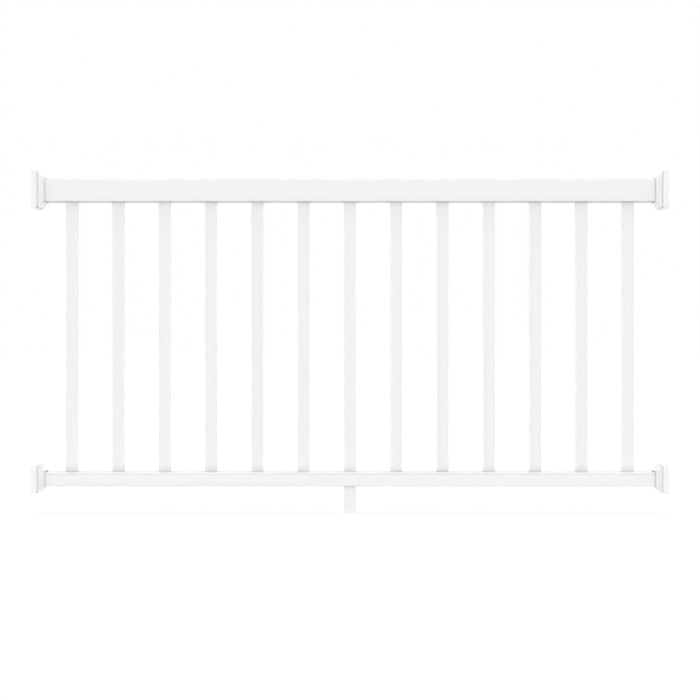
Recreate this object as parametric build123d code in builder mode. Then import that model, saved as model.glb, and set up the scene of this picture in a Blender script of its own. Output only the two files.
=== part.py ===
"""White vinyl deck railing section: two hollow rails, square balusters, four post brackets and a support leg.

Millimetres. +X runs along the rails from the left post to the right post, +Y to the back, +Z up.
The origin is on the left post face, at the middle of the bottom left bracket.
"""

from build123d import *
import math
import os

# The opening that the section fills
POST_OPENING = 1736.0  # clear distance between the two post faces
GUARD_HEIGHT = 917.5  # deck surface to the crown of the top rail
DECK_CLEARANCE = 76.0  # deck surface to the underside of the bottom rail

# Rails: hollow extrusions with two webs that flank the balusters
RAIL_DEPTH = 89.0  # front to back
TOP_RAIL_HEIGHT = 63.5
BOTTOM_RAIL_HEIGHT = 38.0
RAIL_WALL = 3.0
WEB_THICKNESS = 2.0
WEB_CLEARANCE = 1.0  # web to the side of a routed hole
CROWN_RISE = 2.0  # the top rail's upper face is a shallow arch
SHOULDER_RADIUS = 5.0  # upper corners of the top rail
TOP_RAIL_LOWER_RADIUS = 2.0
BOTTOM_RAIL_RADIUS = 3.5  # all four corners of the bottom rail
LEAST_RADIUS = 0.5  # inner corners are never sharper than this
EDGE_SHARE = 0.6  # the most of a wall or a corner that a bevelled edge may take
RAIL_END_GAP = 2.0  # room for a rail to grow in the heat
GROOVE_DROP = 5.5  # fine shadow line along both sides of the bottom rail, below its upper face
GROOVE_WIDTH = 1.0
GROOVE_DEPTH = 0.8

# Balusters: square tubes through holes routed in the rails
BALUSTER_SIZE = 32.0
BALUSTER_WALL = 2.5
BALUSTER_RADIUS = 2.5
BALUSTER_PITCH = 127.0
BALUSTER_ENTRY = 22.0  # length hidden inside the top rail
HOLE_CLEARANCE = 0.75  # baluster to the routed hole, each side
END_ROOM = 20.0  # least space from a bracket's tongue to the first baluster

# Post brackets: a moulded base plate screwed to the post, under a flared collar
FLANGE_OVERHANG = 19.0  # base plate beyond the rail, all round
PLATE_THICKNESS = 15.5
PLATE_SKIN = 5.0  # back of the plate, behind its cored pocket
PLATE_RIM = 8.0  # solid edge round the cored pocket
PLATE_RADIUS = 3.0  # corners of the plate, seen along the rail
PLATE_EDGE_BEVEL = 1.2
REVEAL_WIDTH = 3.0  # shadow line between the plate and the collar
REVEAL_DEPTH = 4.0
TONGUE_LENGTH = 30.0  # hollow tongue that enters the rail
TONGUE_WALL = 3.0
TONGUE_BEVEL = 1.0  # corners of the tongue
TONGUE_CLEARANCE = 0.3
SCREW_HOLE_DIAMETER = 5.5
SCREW_HEAD_DIAMETER = 10.0
SCREW_BOSS_MARGIN = 1.5  # boss beyond the screw's head

# Collars: thin flared covers that hide the screws and close round the rail
COLLAR_INSET = 0.5  # collar edge behind the plate edge
COLLAR_SEAT = 5.0  # width of the collar's foot
COLLAR_WALL = 2.5
COLLAR_FLARE_LENGTH = 10.3
COLLAR_NECK_LENGTH = 5.5
COLLAR_RADIUS = 2.5  # corners of the bevel
COLLAR_RIM_BEVEL = 1.2
RAIL_GAP = 2.0  # rail to the collar's mouth, all round

# Support leg: a cut length of baluster under the middle of the bottom rail, plugged at its foot
PLUG_THICKNESS = 4.0
PLUG_CLEARANCE = 0.25

# Places and sizes that follow from those above
DECK_Z = -BOTTOM_RAIL_HEIGHT / 2 - DECK_CLEARANCE
BOTTOM_RAIL_Z = 0.0
BOTTOM_RAIL_UNDERSIDE = BOTTOM_RAIL_Z - BOTTOM_RAIL_HEIGHT / 2
TOP_RAIL_Z = DECK_Z + GUARD_HEIGHT - TOP_RAIL_HEIGHT / 2
TOP_RAIL_UNDERSIDE = TOP_RAIL_Z - TOP_RAIL_HEIGHT / 2
MID_X = POST_OPENING / 2
LAND = PLATE_THICKNESS + REVEAL_WIDTH  # the raised face that carries the collar
NECK_LENGTH = COLLAR_FLARE_LENGTH + COLLAR_NECK_LENGTH  # land to the collar's mouth
TONGUE_END = LAND + TONGUE_LENGTH
RAIL_START = LAND + RAIL_END_GAP
RAIL_LENGTH = POST_OPENING - 2 * RAIL_START
HOLE_SIZE = BALUSTER_SIZE + 2 * HOLE_CLEARANCE
HOLE_CORNER = (2 - math.sqrt(2)) * (BALUSTER_RADIUS + HOLE_CLEARANCE)  # bevel that just clears a round corner
CELL_WIDTH = HOLE_SIZE + 2 * WEB_CLEARANCE  # between the webs
COLLAR_FOOT_INSIDE = FLANGE_OVERHANG - COLLAR_INSET - COLLAR_SEAT
SCREW_OFFSET = (COLLAR_FOOT_INSIDE + RAIL_GAP) / 2  # screw centre beyond the rail

# Balusters are set out from the middle, as many each side as the opening takes
HALF_ROW = MID_X - TONGUE_END - END_ROOM - BALUSTER_SIZE / 2
EACH_SIDE = int(HALF_ROW // BALUSTER_PITCH)
BALUSTER_X = [MID_X + step * BALUSTER_PITCH for step in range(-EACH_SIDE, EACH_SIDE + 1)]

# Each rail: height of its middle, height of its section, rise of its arch, upper and lower corner radius
RAILS = {
    "top": (TOP_RAIL_Z, TOP_RAIL_HEIGHT, CROWN_RISE, SHOULDER_RADIUS, TOP_RAIL_LOWER_RADIUS),
    "bottom": (BOTTOM_RAIL_Z, BOTTOM_RAIL_HEIGHT, 0.0, BOTTOM_RAIL_RADIUS, BOTTOM_RAIL_RADIUS),
}

os.makedirs("parts", exist_ok=True)


def save(piece, name):
    """Labels a finished piece and writes its file."""
    piece.label = name
    export_step(piece, f"parts/{name}.step")


def rounded_outline(depth, height, rise, upper_radius, lower_radius):
    """An upright outline: flat sides and underside, a top arched by its rise, and round corners."""
    side, foot = depth / 2, -height / 2
    shoulder = height / 2 - rise
    with BuildSketch() as outline:
        with BuildLine():
            Polyline((-side, shoulder), (-side, foot), (side, foot), (side, shoulder))
            if rise:
                ThreePointArc((side, shoulder), (0, height / 2), (-side, shoulder))
            else:
                Line((side, shoulder), (-side, shoulder))
        make_face()
        fillet(outline.vertices().group_by(Axis.Y)[-1], upper_radius)
        fillet(outline.vertices().group_by(Axis.Y)[0], lower_radius)
    return outline.sketch


def rail_outline(rail, grow=0.0):
    """A rail's section, grown all round by a margin, or shrunk by a negative one."""
    height, rise, upper, lower = RAILS[rail][1:]
    radii = [max(radius + grow, LEAST_RADIUS) for radius in (upper, lower)]
    return rounded_outline(RAIL_DEPTH + 2 * grow, height + 2 * grow, rise, *radii)


def flange_outline(rail, overhang):
    """A rectangle that stands out from a rail by the overhang, with small round corners."""
    height = RAILS[rail][1]
    return rounded_outline(RAIL_DEPTH + 2 * overhang, height + 2 * overhang, 0, PLATE_RADIUS, PLATE_RADIUS)


def arch_drop(rail, across):
    """How far the inside of a rail's arched top has fallen at a distance from the middle."""
    rise = RAILS[rail][2]
    if not rise:
        return 0.0
    half_span = RAIL_DEPTH / 2 - RAIL_WALL
    radius = (half_span**2 + rise**2) / (2 * rise)
    return radius - math.sqrt(radius**2 - across**2)


def make_rail(rail, routed_wall):
    """A hollow rail with its webs, and a row of square holes routed in one wall."""
    middle, height = RAILS[rail][:2]
    web_place = (CELL_WIDTH + WEB_THICKNESS) / 2
    drop = arch_drop(rail, web_place)
    with BuildPart() as extrusion:
        with BuildSketch(Plane((RAIL_START, 0, middle), x_dir=(0, 1, 0), z_dir=(1, 0, 0))):
            add(rail_outline(rail))
            add(rail_outline(rail, -RAIL_WALL), mode=Mode.SUBTRACT)
            with Locations((-web_place, -drop / 2), (web_place, -drop / 2)):
                Rectangle(WEB_THICKNESS, height - drop - RAIL_WALL)
            if rail == "bottom":
                groove_height = height / 2 - GROOVE_DROP
                with Locations((-RAIL_DEPTH / 2, groove_height), (RAIL_DEPTH / 2, groove_height)):
                    Rectangle(2 * GROOVE_DEPTH, GROOVE_WIDTH, mode=Mode.SUBTRACT)
        extrude(amount=RAIL_LENGTH)
        with BuildSketch(Plane((0, 0, routed_wall))) as holes:
            with Locations(*[(x, 0) for x in BALUSTER_X]):
                Rectangle(HOLE_SIZE, HOLE_SIZE)
            chamfer(holes.vertices(), HOLE_CORNER)
        extrude(amount=RAIL_WALL, mode=Mode.SUBTRACT)
    return extrusion.part


def make_square_tube(x, foot, top):
    """An upright length of baluster extrusion."""
    bore = BALUSTER_SIZE - 2 * BALUSTER_WALL
    with BuildPart() as tube:
        with BuildSketch(Plane((x, 0, foot))):
            RectangleRounded(BALUSTER_SIZE, BALUSTER_SIZE, BALUSTER_RADIUS)
            Rectangle(bore, bore, mode=Mode.SUBTRACT)
        extrude(amount=top - foot)
    return tube.part


def make_base_plate(rail, post_face):
    """A moulded plate, cored from the rail's side, with screw bosses and a hollow tongue for the rail."""
    height = RAILS[rail][1]
    along = Axis(post_face.origin, post_face.z_dir)
    screw_spacing = (RAIL_DEPTH + 2 * SCREW_OFFSET, height + 2 * SCREW_OFFSET)
    tongue_width = CELL_WIDTH - 2 * TONGUE_CLEARANCE
    drop = arch_drop(rail, tongue_width / 2)
    tongue_height = height - drop - 2 * (RAIL_WALL + TONGUE_CLEARANCE)
    with BuildPart() as plate:
        with BuildSketch(post_face):
            add(flange_outline(rail, FLANGE_OVERHANG))
        extrude(amount=PLATE_THICKNESS)
        front = plate.edges().group_by(along)[-1]
        chamfer(front, min(PLATE_EDGE_BEVEL, EDGE_SHARE * PLATE_RADIUS))
        with BuildSketch(post_face.offset(PLATE_THICKNESS)):
            add(flange_outline(rail, FLANGE_OVERHANG - REVEAL_DEPTH))
        extrude(amount=REVEAL_WIDTH)
        with BuildSketch(post_face.offset(PLATE_SKIN)):
            add(flange_outline(rail, FLANGE_OVERHANG - PLATE_RIM))
        extrude(amount=LAND - PLATE_SKIN, mode=Mode.SUBTRACT)
        with BuildSketch(post_face.offset(PLATE_SKIN)):
            with GridLocations(*screw_spacing, 2, 2):
                Circle(SCREW_HEAD_DIAMETER / 2 + SCREW_BOSS_MARGIN)
        extrude(amount=LAND - PLATE_SKIN)
        with BuildSketch(post_face.offset(PLATE_SKIN)) as tongue:
            with Locations((0, -drop / 2)):
                Rectangle(tongue_width, tongue_height)
                chamfer(tongue.vertices(), TONGUE_BEVEL)
                Rectangle(tongue_width - 2 * TONGUE_WALL, tongue_height - 2 * TONGUE_WALL, mode=Mode.SUBTRACT)
        extrude(amount=TONGUE_END - PLATE_SKIN)
        with Locations(post_face.offset(LAND)):
            with GridLocations(*screw_spacing, 2, 2):
                Hole(SCREW_HOLE_DIAMETER / 2)
    return plate.part


def make_flare(rail, land, foot, neck):
    """A block whose flat sides run in from the foot's overhang to the neck's, and on to the mouth."""
    slope = math.degrees(math.atan2(foot - neck, COLLAR_FLARE_LENGTH))
    with BuildPart() as flare:
        with BuildSketch(land):
            Rectangle(RAIL_DEPTH + 2 * foot, RAILS[rail][1] + 2 * foot)
        extrude(amount=NECK_LENGTH)
        sides = flare.faces().group_by(Axis(land.origin, land.z_dir))[1]
        draft(sides, neutral_plane=land, angle=slope)
    return flare.part


def make_collar(rail, post_face):
    """A thin flared cover: flat bevels from the plate's edge in to the rail, and a short neck, open inside."""
    along = Axis(post_face.origin, post_face.z_dir)
    land = post_face.offset(LAND)
    neck = RAIL_GAP + COLLAR_WALL
    with BuildPart() as collar:
        add(make_flare(rail, land, FLANGE_OVERHANG - COLLAR_INSET, neck))
        fillet(collar.edges().group_by(along)[1], COLLAR_RADIUS)
        with BuildSketch(land):
            add(rail_outline(rail, neck))
        extrude(amount=NECK_LENGTH)
        rim = collar.edges().group_by(along)[-1]
        chamfer(rim, min(COLLAR_RIM_BEVEL, EDGE_SHARE * COLLAR_WALL))
        add(make_flare(rail, land, COLLAR_FOOT_INSIDE, RAIL_GAP), mode=Mode.SUBTRACT)
        with BuildSketch(land):
            add(rail_outline(rail, RAIL_GAP))
        extrude(amount=NECK_LENGTH, mode=Mode.SUBTRACT)
    return collar.part


# Rails: the top rail is routed from below, the bottom rail from above
save(make_rail("top", TOP_RAIL_UNDERSIDE), "top_rail")
save(make_rail("bottom", BOTTOM_RAIL_UNDERSIDE + BOTTOM_RAIL_HEIGHT - RAIL_WALL), "bottom_rail")

# Balusters stand on the floor of the bottom rail and end inside the top rail
for number, x in enumerate(BALUSTER_X, start=1):
    baluster = make_square_tube(x, BOTTOM_RAIL_UNDERSIDE + RAIL_WALL, TOP_RAIL_UNDERSIDE + BALUSTER_ENTRY)
    save(baluster, f"baluster_{number:02d}")

# Post brackets: the tongue of each base plate points away from its post
for side, post_x, inward in (("left", 0.0, 1), ("right", POST_OPENING, -1)):
    for rail in RAILS:
        post_face = Plane((post_x, 0, RAILS[rail][0]), x_dir=(0, inward, 0), z_dir=(inward, 0, 0))
        save(make_base_plate(rail, post_face), f"{rail}_{side}_base_plate")
        save(make_collar(rail, post_face), f"{rail}_{side}_collar")

# Support leg and the plug that closes its foot
save(make_square_tube(MID_X, DECK_Z, BOTTOM_RAIL_UNDERSIDE), "support_leg")
with BuildPart() as plug:
    with BuildSketch(Plane((MID_X, 0, DECK_Z))):
        plug_size = BALUSTER_SIZE - 2 * (BALUSTER_WALL + PLUG_CLEARANCE)
        Rectangle(plug_size, plug_size)
    extrude(amount=PLUG_THICKNESS)
save(plug.part, "support_leg_plug")
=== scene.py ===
import bpy
import numpy as np
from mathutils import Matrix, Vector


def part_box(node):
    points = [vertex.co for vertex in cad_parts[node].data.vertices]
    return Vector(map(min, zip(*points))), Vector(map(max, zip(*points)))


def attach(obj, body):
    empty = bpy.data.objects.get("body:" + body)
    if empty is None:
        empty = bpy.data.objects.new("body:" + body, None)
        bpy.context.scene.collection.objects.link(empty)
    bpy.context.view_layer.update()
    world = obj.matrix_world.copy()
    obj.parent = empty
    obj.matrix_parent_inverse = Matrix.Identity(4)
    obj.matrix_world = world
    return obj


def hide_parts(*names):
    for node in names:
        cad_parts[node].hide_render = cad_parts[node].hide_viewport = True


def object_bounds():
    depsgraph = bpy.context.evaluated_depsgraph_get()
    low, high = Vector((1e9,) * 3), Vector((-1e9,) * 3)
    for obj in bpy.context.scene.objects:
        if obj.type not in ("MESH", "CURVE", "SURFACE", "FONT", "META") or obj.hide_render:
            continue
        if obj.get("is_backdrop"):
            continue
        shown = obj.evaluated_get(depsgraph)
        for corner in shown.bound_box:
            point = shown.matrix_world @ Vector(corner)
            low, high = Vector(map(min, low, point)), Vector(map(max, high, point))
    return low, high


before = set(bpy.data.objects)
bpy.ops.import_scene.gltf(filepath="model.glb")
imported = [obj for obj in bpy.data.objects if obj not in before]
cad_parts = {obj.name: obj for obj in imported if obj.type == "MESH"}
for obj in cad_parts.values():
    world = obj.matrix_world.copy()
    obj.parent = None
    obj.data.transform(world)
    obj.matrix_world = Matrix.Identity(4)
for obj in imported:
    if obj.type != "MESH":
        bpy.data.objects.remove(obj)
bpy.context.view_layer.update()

# Rails
# Hollow extrusions of rigid white vinyl, slipped over the brackets' tongues. The die leaves faint lines
# along them. Sun and hands have dulled the top rail, and the bottom rail keeps its gloss. Painted shade greys
# them where collars and balusters meet them, and the bottom rail's white is a painted lift, a shade whiter
# than the top rail's to make up for the lesser light low down.

MM = 0.001


def linear(hex_colour):
    """The linear RGBA of an sRGB hex value.

    A channel c becomes c / 12.92 up to 0.04045, and ((c + 0.055) / 1.055) to the power 2.4 above that.
    """
    srgb = np.array([int(hex_colour[start:start + 2], 16) for start in (1, 3, 5)]) / 255
    rgb = np.where(srgb <= 0.04045, srgb / 12.92, ((srgb + 0.055) / 1.055) ** 2.4)
    return (*rgb.tolist(), 1.0)


def add_node(tree, kind, settings=None, inputs=None):
    """Adds a node, sets its properties, and gives each input a value or another node's socket."""
    node = tree.nodes.new(kind)
    for name, value in (settings or {}).items():
        setattr(node, name, value)
    for name, value in (inputs or {}).items():
        if isinstance(value, bpy.types.NodeSocket):
            tree.links.new(value, node.inputs[name])
        else:
            node.inputs[name].default_value = value
    return node


def new_material(name):
    """An empty material with its node tree and output."""
    material = bpy.data.materials.new(name)
    material.use_nodes = True
    tree = material.node_tree
    tree.nodes.clear()
    return material, tree, add_node(tree, "ShaderNodeOutputMaterial")


# Painted shade: a grey mixed into the white where neighbours close off the space round a point.
PAINTED_SHADE_GREY = linear("#3A3A3A")
SHADE_REACH = 30.0 * MM  # how near a neighbour must be for the painted shade to fall
RAIL_SHADE = 0.9  # strength of the painted shade in the rails' joints


def painted_joint_shade(tree, white, strength):
    """A white with painted shade that greys it where pieces meet.

    The share of painted shade is the strength times the square of the hidden share, which is how much of the
    space before a point is closed by something within reach.
    """
    open_share = add_node(tree, "ShaderNodeAmbientOcclusion", {"samples": 16}, {
        "Distance": SHADE_REACH}).outputs["AO"]
    hidden = add_node(tree, "ShaderNodeMath", {"operation": "SUBTRACT"}, {0: 1.0, 1: open_share}).outputs[0]
    squared = add_node(tree, "ShaderNodeMath", {"operation": "POWER"}, {0: hidden, 1: 2.0}).outputs[0]
    shade_share = add_node(tree, "ShaderNodeMath", {"operation": "MULTIPLY"}, {
        0: squared, 1: strength}).outputs[0]
    return add_node(tree, "ShaderNodeMix", {"data_type": "RGBA"}, {
        "Factor": shade_share, "A": white, "B": PAINTED_SHADE_GREY}).outputs[2]


VINYL_IOR = 1.53
DULLED = (0.55, 0.65)  # roughness of vinyl that sun and hands have worn
FRESH = (0.16, 0.24)  # roughness of vinyl that keeps the gloss of the die
LENGTHWISE, UPRIGHT = 0, 2  # the axis that the die lines follow, X or Z
LINE_STRETCH = 250.0  # how many times longer than wide a die line is


def extruded_vinyl(name, along, whites, roughness):
    """Rigid vinyl from a die, with faint lines along one axis and a white that drifts from line to line.

    The pattern's coordinates are squeezed along that axis, so that a spot a few millimetres wide becomes a
    line. Gives the material, its tree, its white and its shader, so that each piece can add its own painted
    shade.
    """
    line_width = 3.0 * MM  # die lines, a little wider than real so that they show
    line_depth = 0.10 * MM
    drift_width = 18.0 * MM  # slow drift of the white across the face
    grain_width = 0.9 * MM  # fine bloom, coarser than real so that it shows
    grain_depth = 0.05 * MM
    squeeze = [1.0, 1.0, 1.0]
    squeeze[along] = 1 / LINE_STRETCH
    material, tree, output = new_material(name)
    position = add_node(tree, "ShaderNodeTexCoord").outputs["Object"]
    squeezed = add_node(tree, "ShaderNodeMapping", None, {
        "Vector": position, "Scale": squeeze}).outputs["Vector"]
    lines = add_node(tree, "ShaderNodeTexNoise", None, {
        "Vector": squeezed, "Scale": 1 / line_width, "Detail": 3.0, "Roughness": 0.6}).outputs["Fac"]
    drift = add_node(tree, "ShaderNodeTexNoise", None, {
        "Vector": squeezed, "Scale": 1 / drift_width, "Detail": 2.0}).outputs["Fac"]
    grain = add_node(tree, "ShaderNodeTexNoise", None, {
        "Vector": position, "Scale": 1 / grain_width, "Detail": 2.0}).outputs["Fac"]
    white = add_node(tree, "ShaderNodeMix", {"data_type": "RGBA"}, {
        "Factor": drift, "A": linear(whites[0]), "B": linear(whites[1])}).outputs[2]
    gloss = add_node(tree, "ShaderNodeMapRange", None, {
        "Value": lines, "To Min": roughness[0], "To Max": roughness[1]}).outputs["Result"]
    drawn = add_node(tree, "ShaderNodeBump", None, {
        "Height": lines, "Strength": 0.18, "Distance": line_depth}).outputs["Normal"]
    bloom = add_node(tree, "ShaderNodeBump", None, {
        "Height": grain, "Strength": 0.05, "Distance": grain_depth, "Normal": drawn}).outputs["Normal"]
    shader = add_node(tree, "ShaderNodeBsdfPrincipled", None, {
        "Roughness": gloss, "IOR": VINYL_IOR, "Normal": bloom})
    tree.links.new(shader.outputs["BSDF"], output.inputs["Surface"])
    return material, tree, white, shader


def finish_nodes(names, material):
    """Gives CAD nodes their finish."""
    for name in names:
        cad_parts[name].material_slots[0].material = material


# The bottom rail's white is a painted lift: a shade whiter than the top rail's, to make up for the lesser
# light low down.
RAIL_FINISHES = {
    "top_rail": (("#EEEEEE", "#F6F6F6"), DULLED),
    "bottom_rail": (("#F1F1F1", "#F9F9F9"), FRESH),
}
for rail, (whites, roughness) in RAIL_FINISHES.items():
    rail_vinyl, tree, white, shader = extruded_vinyl(f"{rail}_extruded_vinyl", LENGTHWISE, whites, roughness)
    tree.links.new(painted_joint_shade(tree, white, RAIL_SHADE), shader.inputs["Base Color"])
    finish_nodes([rail], rail_vinyl)

# Balusters
# Square tubes of the same vinyl, cut from long lengths and set upright in holes routed in both rails.
# Painted shade greys their feet, most right at the bottom rail, and greys their joints with both rails.

BALUSTER_WHITES = ("#EEEEEE", "#F6F6F6")
BALUSTER_SHADE = 0.35
FOOT_SHADE_STRENGTH = 0.19
FOOT_SHADE_HALVING = 7.0 * MM  # height in which the painted shade at the feet falls to a half
FOOT_SHADE_SPAN = 20.0  # halvings, above which no painted shade is left

baluster_vinyl, tree, white, shader = extruded_vinyl(
    "baluster_extruded_vinyl", UPRIGHT, BALUSTER_WHITES, FRESH)
# Painted shade at the feet: it halves with every halving height above the bottom rail.
position = add_node(tree, "ShaderNodeTexCoord").outputs["Object"]
height = add_node(tree, "ShaderNodeSeparateXYZ", None, {"Vector": position}).outputs["Z"]
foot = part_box("bottom_rail")[1][2]
foot_shade_top = foot + FOOT_SHADE_SPAN * FOOT_SHADE_HALVING
halvings = add_node(tree, "ShaderNodeMapRange", None, {
    "Value": height, "From Min": foot, "From Max": foot_shade_top, "To Max": FOOT_SHADE_SPAN}).outputs["Result"]
share = add_node(tree, "ShaderNodeMath", {"operation": "POWER"}, {0: 0.5, 1: halvings}).outputs[0]
foot_shade = add_node(tree, "ShaderNodeMath", {"operation": "MULTIPLY"}, {
    0: share, 1: FOOT_SHADE_STRENGTH}).outputs[0]
shaded_feet = add_node(tree, "ShaderNodeMix", {"data_type": "RGBA"}, {
    "Factor": foot_shade, "A": painted_joint_shade(tree, white, BALUSTER_SHADE), "B": PAINTED_SHADE_GREY}).outputs[2]
tree.links.new(shaded_feet, shader.inputs["Base Color"])
finish_nodes([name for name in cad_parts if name.startswith("baluster_")], baluster_vinyl)

# Support leg
# An offcut of the balusters' tube that stands on the deck under the middle of the bottom rail.
# Its die lines run upright too. It has no painted shade in its joints, and its white is a painted lift, a
# shade whiter than the balusters' to make up for the shade under the rail.

LEG_LIFTED_WHITES = ("#F3F3F3", "#FAFAFA")

leg_vinyl, tree, white, shader = extruded_vinyl("leg_extruded_vinyl", UPRIGHT, LEG_LIFTED_WHITES, FRESH)
tree.links.new(white, shader.inputs["Base Color"])
finish_nodes(["support_leg"], leg_vinyl)

# Base plates and the leg's plug
# Vinyl mouldings: the plates are screwed flat to the posts, the plug is pressed into the leg's foot.
# The mould is polished, which leaves a gloss over a very fine orange peel, and a slightly cloudy white.

# The bottom plates' white is a painted lift: a shade whiter than the top plates', to make up for the lesser
# light low down.
PLATE_WHITES = {"top": ("#F3F3F3", "#F8F8F8"), "bottom": ("#F5F5F5", "#FAFAFA")}
PLUG_WHITES = ("#F1F1F1", "#F6F6F6")
# Strength of the painted shade in the plates' and plug's joints.
PLATE_SHADE = 0.2
POLISHED = (0.15, 0.21)  # roughness of vinyl from a polished mould


def moulded_vinyl(name, whites, joint_shade):
    """Injection-moulded vinyl from a polished mould, with painted shade of a given strength in its joints."""
    peel_width = 0.8 * MM  # orange peel
    peel_depth = 0.10 * MM
    cloud_width = 25.0 * MM  # flow of the melt
    material, tree, output = new_material(name)
    position = add_node(tree, "ShaderNodeTexCoord").outputs["Object"]
    peel = add_node(tree, "ShaderNodeTexNoise", None, {
        "Vector": position, "Scale": 1 / peel_width, "Detail": 3.0, "Roughness": 0.55}).outputs["Fac"]
    cloud = add_node(tree, "ShaderNodeTexNoise", None, {
        "Vector": position, "Scale": 1 / cloud_width, "Detail": 2.0, "Distortion": 0.4}).outputs["Fac"]
    white = add_node(tree, "ShaderNodeMix", {"data_type": "RGBA"}, {
        "Factor": cloud, "A": linear(whites[0]), "B": linear(whites[1])}).outputs[2]
    gloss = add_node(tree, "ShaderNodeMapRange", None, {
        "Value": cloud, "To Min": POLISHED[0], "To Max": POLISHED[1]}).outputs["Result"]
    dimpled = add_node(tree, "ShaderNodeBump", None, {
        "Height": peel, "Strength": 0.12, "Distance": peel_depth}).outputs["Normal"]
    shader = add_node(tree, "ShaderNodeBsdfPrincipled", None, {
        "Base Color": painted_joint_shade(tree, white, joint_shade), "Roughness": gloss, "IOR": VINYL_IOR,
        "Normal": dimpled})
    tree.links.new(shader.outputs["BSDF"], output.inputs["Surface"])
    return material


for rail, whites in PLATE_WHITES.items():
    plates = [f"{rail}_{side}_base_plate" for side in ("left", "right")]
    finish_nodes(plates, moulded_vinyl(f"{rail}_plate_moulded_vinyl", whites, PLATE_SHADE))
finish_nodes(["support_leg_plug"], moulded_vinyl("plug_moulded_vinyl", PLUG_WHITES, PLATE_SHADE))

# Collars
# Thin flared mouldings that snap over the base plates and hide the screws: a bevel runs in from the plate's
# edge to a short neck round the rail. Every edge is eased, and a cove joins the bevel to the neck.

COLLAR_WHITES = ("#EFEFEF", "#F4F4F4")
# Strength of the painted shade in the collars' joints, round the rail and at the plate.
COLLAR_SHADE = 0.7
COLLAR_WALL = 2.5 * MM
COLLAR_SEAT = 5.0 * MM  # width of the foot that stands on the plate
NECK_LENGTH = 5.5 * MM
RAIL_GAP = 2.0 * MM  # rail to the collar's mouth
BEVEL_CORNER = 2.5 * MM  # radius where two bevels meet
TURN_BEFORE, TURN_AFTER = 2.0 * MM, 3.5 * MM  # about the bend, where the corner takes the rail's radius
# Radii at the foot, the cove, the rim, the mouth, the inside of the cove and the inner foot
EDGE_ROUNDS = np.array([0.6, 7.0, 1.2, 0.6, 4.5, 0.4]) * MM
ROUND_STEPS = 8
FLAT_STEP = 1.0 * MM  # spacing of the points along the flat stretches
LEAST_STEP = 0.02 * MM  # points nearer than this are one
CORNER_STEPS = 14
CROWN_STEPS = 14
# Upper corner radius, lower corner radius, rise of the top, and how far the neck pinches in
RAIL_SECTIONS = {
    "top": (5.0 * MM, 2.0 * MM, 2.0 * MM, 1.3 * MM),
    "bottom": (3.5 * MM, 3.5 * MM, 0.0, 0.8 * MM),
}


def rounded_profile(corners, radii):
    """A closed outline with a round at each corner and even points between.

    At a corner the unit directions to its neighbours are a and b, and half the angle between them is h. The
    round of radius r has its centre r / sin(h) along the bisector, touches both sides r / tan(h) from the
    corner, and turns through pi - 2h, from one touching point to the other.
    """
    back = np.roll(corners, 1, axis=0) - corners
    on = np.roll(corners, -1, axis=0) - corners
    back /= np.linalg.norm(back, axis=1, keepdims=True)
    on /= np.linalg.norm(on, axis=1, keepdims=True)
    bisector = back + on
    bisector /= np.linalg.norm(bisector, axis=1, keepdims=True)
    half = np.arccos((back * on).sum(axis=1)) / 2
    centre = corners + bisector * (radii / np.sin(half))[:, None]
    reach = (radii / np.tan(half))[:, None]
    start, end = corners + back * reach - centre, corners + on * reach - centre
    turn = (np.pi - 2 * half)[:, None]
    share = np.linspace(0, 1, ROUND_STEPS)[None, :]
    first, last = np.sin((1 - share) * turn) / np.sin(turn), np.sin(share * turn) / np.sin(turn)
    rounds = centre[:, None] + start[:, None] * first[..., None] + end[:, None] * last[..., None]
    outline = rounds.reshape(-1, 2)
    closed = np.vstack([outline, outline[:1]])
    travel = np.concatenate([[0], np.cumsum(np.linalg.norm(np.diff(closed, axis=0), axis=1))])
    stops = np.union1d(travel, np.arange(0, travel[-1], FLAT_STEP))[:-1]
    stops = stops[np.concatenate([[True], np.diff(stops) > LEAST_STEP])]
    return np.stack([np.interp(stops, travel, closed[:, axis]) for axis in (0, 1)], axis=1)


def ease(value, low, high):
    """Smooth step: 0 below low, 1 above high, 3t^2 - 2t^3 between."""
    share = np.clip((value - low) / (high - low), 0, 1)
    return share * share * (3 - 2 * share)


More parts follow.
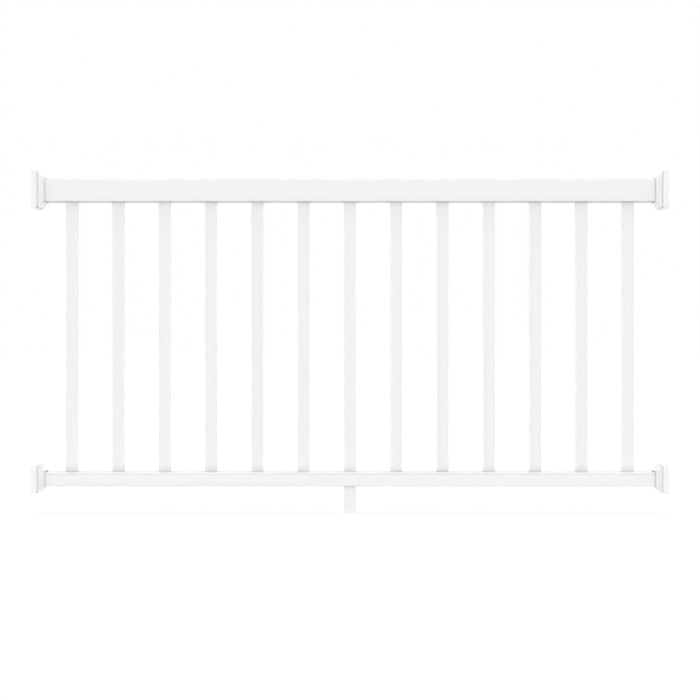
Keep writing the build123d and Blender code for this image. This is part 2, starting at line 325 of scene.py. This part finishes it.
def collar_surface(rail, side):
    """The collar as a grid: its closed wall profile carried round the rail.

    The profile gives the distance from the post and the overhang beyond the rail. Across the rail, each of
    its points draws a rounded rectangle: y = c (A - r) + r cos(angle), z = u (B - p - r) + r sin(angle), with
    the half sizes A and B grown by the overhang, c and u the corner's signs, p the pinch that closes the gap
    above and below the rail, and the top lowered by rise (y / A)^2. The corner radius r, p and the rise come
    in about the bend.
    """
    low, high = (np.array(corner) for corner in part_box(f"{rail}_{side}_collar"))
    rail_low, rail_high = (np.array(corner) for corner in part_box(f"{rail}_rail"))
    inward = 1 if side == "left" else -1
    foot_x = low[0] if side == "left" else high[0]
    middle = (low + high) / 2
    half_depth = (rail_high[1] - rail_low[1]) / 2
    foot = (high[1] - low[1]) / 2 - half_depth
    half_height = (high[2] - low[2]) / 2 - foot
    length = high[0] - low[0]
    bend = length - NECK_LENGTH
    neck = RAIL_GAP + COLLAR_WALL
    corners = np.array([(0, foot), (bend, neck), (length, neck), (length, RAIL_GAP), (bend, RAIL_GAP),
                        (0, foot - COLLAR_SEAT)])
    along, overhang = rounded_profile(corners, EDGE_ROUNDS).T[..., None]
    to_neck = ease(along, bend - TURN_BEFORE, bend + TURN_AFTER)
    rail_upper, rail_lower, rail_rise, neck_pinch = RAIL_SECTIONS[rail]
    upper = BEVEL_CORNER + (rail_upper + overhang - BEVEL_CORNER) * to_neck
    lower = BEVEL_CORNER + (rail_lower + overhang - BEVEL_CORNER) * to_neck
    rise, pinch = rail_rise * to_neck, neck_pinch * to_neck
    quarter = np.linspace(0, np.pi / 2, CORNER_STEPS)
    crown = np.linspace(1, -1, CROWN_STEPS + 2)[1:-1]
    overhead = np.full(CROWN_STEPS, np.pi / 2)
    ones = np.ones(CORNER_STEPS)
    across = np.concatenate([ones, ones, crown, -ones, -ones])
    upward = np.concatenate([-ones, ones, np.ones(CROWN_STEPS), ones, -ones])
    angle = np.concatenate([quarter - np.pi / 2, quarter, overhead, quarter + np.pi / 2, quarter + np.pi])
    radius = np.where(upward > 0, upper, lower)
    half_y, half_z = half_depth + overhang, half_height + overhang - pinch
    y = across * (half_y - radius) + radius * np.cos(angle)
    z = upward * (half_z - radius) + radius * np.sin(angle) - rise * (upward > 0) * (y / half_y) ** 2
    x = np.broadcast_to(foot_x + inward * along, y.shape)
    return np.stack([x, y, middle[2] + z], axis=-1), inward


def closed_grid(name, points, outward):
    """A mesh of quads over a grid that closes on itself both ways, facing outwards."""
    rows, columns = points.shape[:2]
    index = np.arange(rows * columns).reshape(rows, columns)
    right, below = np.roll(index, -1, axis=1), np.roll(index, -1, axis=0)
    corner = np.roll(below, -1, axis=1)
    quads = np.stack([index, right, corner, below], axis=-1).reshape(-1, 4)
    mesh = bpy.data.meshes.new(name)
    mesh.from_pydata(points.reshape(-1, 3), [], quads if outward > 0 else quads[:, ::-1])
    mesh.polygons.foreach_set("use_smooth", np.ones(len(mesh.polygons), bool))
    piece = bpy.data.objects.new(name, mesh)
    bpy.context.scene.collection.objects.link(piece)
    return piece


collar_vinyl = moulded_vinyl("collar_moulded_vinyl", COLLAR_WHITES, COLLAR_SHADE)
for rail in RAIL_SECTIONS:
    for side in ("left", "right"):
        collar = closed_grid(f"{rail}_{side}_flared_collar", *collar_surface(rail, side))
        collar.data.materials.append(collar_vinyl)
        collar.modifiers.new("flat_faces", "WEIGHTED_NORMAL")
        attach(collar, "root")
        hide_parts(f"{rail}_{side}_collar")

# Floor
# A plain pale studio floor at the foot of the support leg. It is lit from below like a light table, so that
# it throws an even light up under the rails. It looks white, and keeps a soft shadow of the object.

FLOOR_HALF = 200.0
FLOOR_DROP = 0.1 * MM  # under the foot, so that the two faces don't meet
GLOW, GLOW_SHARE = 0.64, 0.9  # light that the floor throws up, and its share of the floor's surface
SEEN_WHITE, SEEN_SHARE = 1.05, 0.7  # white that the floor shows, and its share: the rest takes the shadow

low, high = (np.array(corner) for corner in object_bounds())
middle = (low + high) / 2


def seen_rays(tree):
    """1 for rays from the camera, also by way of a mirror or glass, and 0 for the rays that carry light."""
    path = add_node(tree, "ShaderNodeLightPath").outputs
    straight = add_node(tree, "ShaderNodeMath", {"operation": "MAXIMUM"}, {
        0: path["Is Camera Ray"], 1: path["Is Glossy Ray"]}).outputs[0]
    return add_node(tree, "ShaderNodeMath", {"operation": "MAXIMUM"}, {
        0: straight, 1: path["Is Transmission Ray"]}).outputs[0]


floor_material, tree, output = new_material("pale_floor")
pale = add_node(tree, "ShaderNodeBsdfDiffuse", None, {"Color": linear("#DDDDDD")}).outputs["BSDF"]
glow = add_node(tree, "ShaderNodeEmission", None, {"Strength": GLOW}).outputs["Emission"]
lit = add_node(tree, "ShaderNodeMixShader", None, {"Fac": GLOW_SHARE, 1: pale, 2: glow}).outputs["Shader"]
bright = add_node(tree, "ShaderNodeBsdfDiffuse", None, {"Color": linear("#FFFFFF")}).outputs["BSDF"]
white = add_node(tree, "ShaderNodeEmission", None, {"Strength": SEEN_WHITE}).outputs["Emission"]
shown = add_node(tree, "ShaderNodeMixShader", None, {
    "Fac": SEEN_SHARE, 1: bright, 2: white}).outputs["Shader"]
surface = add_node(tree, "ShaderNodeMixShader", None, {
    "Fac": seen_rays(tree), 1: lit, 2: shown}).outputs["Shader"]
tree.links.new(surface, output.inputs["Surface"])

floor_mesh = bpy.data.meshes.new("floor")
floor_corners = np.array([(-1, -1), (1, -1), (1, 1), (-1, 1)]) * FLOOR_HALF + middle[:2]
floor_level = np.full(len(floor_corners), low[2] - FLOOR_DROP)
floor_mesh.from_pydata(np.column_stack([floor_corners, floor_level]), [], [(0, 1, 2, 3)])
floor_mesh.materials.append(floor_material)
floor = bpy.data.objects.new("floor", floor_mesh)
bpy.context.scene.collection.objects.link(floor)
floor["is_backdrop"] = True

# Light
# A white studio: low walls all round, a little brighter at the railing's two ends than before and behind it,
# under a dome with a ceiling panel. The walls' strength follows the square of the direction's y, and fades
# as its z rises, and the ceiling's follows z.

END_WALLS = 3.3
FACE_WALLS = 3.05  # before and behind the railing
WALL_TOP = 0.35  # z at which the walls have faded out
DOME = 0.55
CEILING = 1.41  # right overhead
CEILING_EDGE = 0.6  # z at which the dome begins to brighten
BACKDROP = 1.0  # white

world = bpy.data.worlds.new("white_studio")
bpy.context.scene.world = world
world.use_nodes = True
tree = world.node_tree
tree.nodes.clear()
direction = add_node(tree, "ShaderNodeTexCoord").outputs["Generated"]
part = add_node(tree, "ShaderNodeSeparateXYZ", None, {"Vector": direction}).outputs
facing = add_node(tree, "ShaderNodeMath", {"operation": "MULTIPLY"}, {
    0: part["Y"], 1: part["Y"]}).outputs[0]
brightness = add_node(tree, "ShaderNodeMapRange", None, {
    "Value": facing, "To Min": END_WALLS, "To Max": FACE_WALLS}).outputs["Result"]
lowness = add_node(tree, "ShaderNodeMapRange", None, {
    "Value": part["Z"], "From Max": WALL_TOP, "To Min": 1.0, "To Max": 0.0}).outputs["Result"]
walls = add_node(tree, "ShaderNodeMath", {"operation": "MULTIPLY"}, {0: brightness, 1: lowness}).outputs[0]
ceiling = add_node(tree, "ShaderNodeMapRange", None, {
    "Value": part["Z"], "From Min": CEILING_EDGE, "To Min": DOME, "To Max": CEILING}).outputs["Result"]
strength = add_node(tree, "ShaderNodeMath", {"operation": "ADD"}, {0: walls, 1: ceiling}).outputs[0]
studio = add_node(tree, "ShaderNodeBackground", None, {
    "Color": linear("#FFFFFF"), "Strength": strength}).outputs["Background"]
backdrop = add_node(tree, "ShaderNodeBackground", None, {
    "Color": linear("#FFFFFF"), "Strength": BACKDROP}).outputs["Background"]
sky = add_node(tree, "ShaderNodeMixShader", None, {
    "Fac": seen_rays(tree), 1: studio, 2: backdrop}).outputs["Shader"]
add_node(tree, "ShaderNodeOutputWorld", None, {"Surface": sky})

# Camera
# Level and square to the railing, at half its height, and as far off as the brackets' receding edges say,
# so that the top rail shows a little of its underside and the bottom rail a little of its top.

PHOTO_SIZE = 700  # pixels, square
FOCAL_PIXELS = 2404.7
VIEW_DISTANCE = 6.604  # from the rails' middle plane
VIEW_REACH = 500.0  # past the floor's far edge
EYE_HEIGHT = 0.4478  # above the floor
SENSOR = 36.0

camera = bpy.data.cameras.new("camera")
camera.sensor_fit, camera.sensor_width = "HORIZONTAL", SENSOR
camera.lens = FOCAL_PIXELS / PHOTO_SIZE * SENSOR
camera.clip_end = VIEW_REACH
viewpoint = bpy.data.objects.new("camera", camera)
bpy.context.scene.collection.objects.link(viewpoint)
viewpoint.location = (middle[0], middle[1] - VIEW_DISTANCE, low[2] + EYE_HEIGHT)
viewpoint.rotation_euler = (np.pi / 2, 0, 0)
bpy.context.scene.camera = viewpoint
bpy.context.scene.view_settings.view_transform = "Standard"
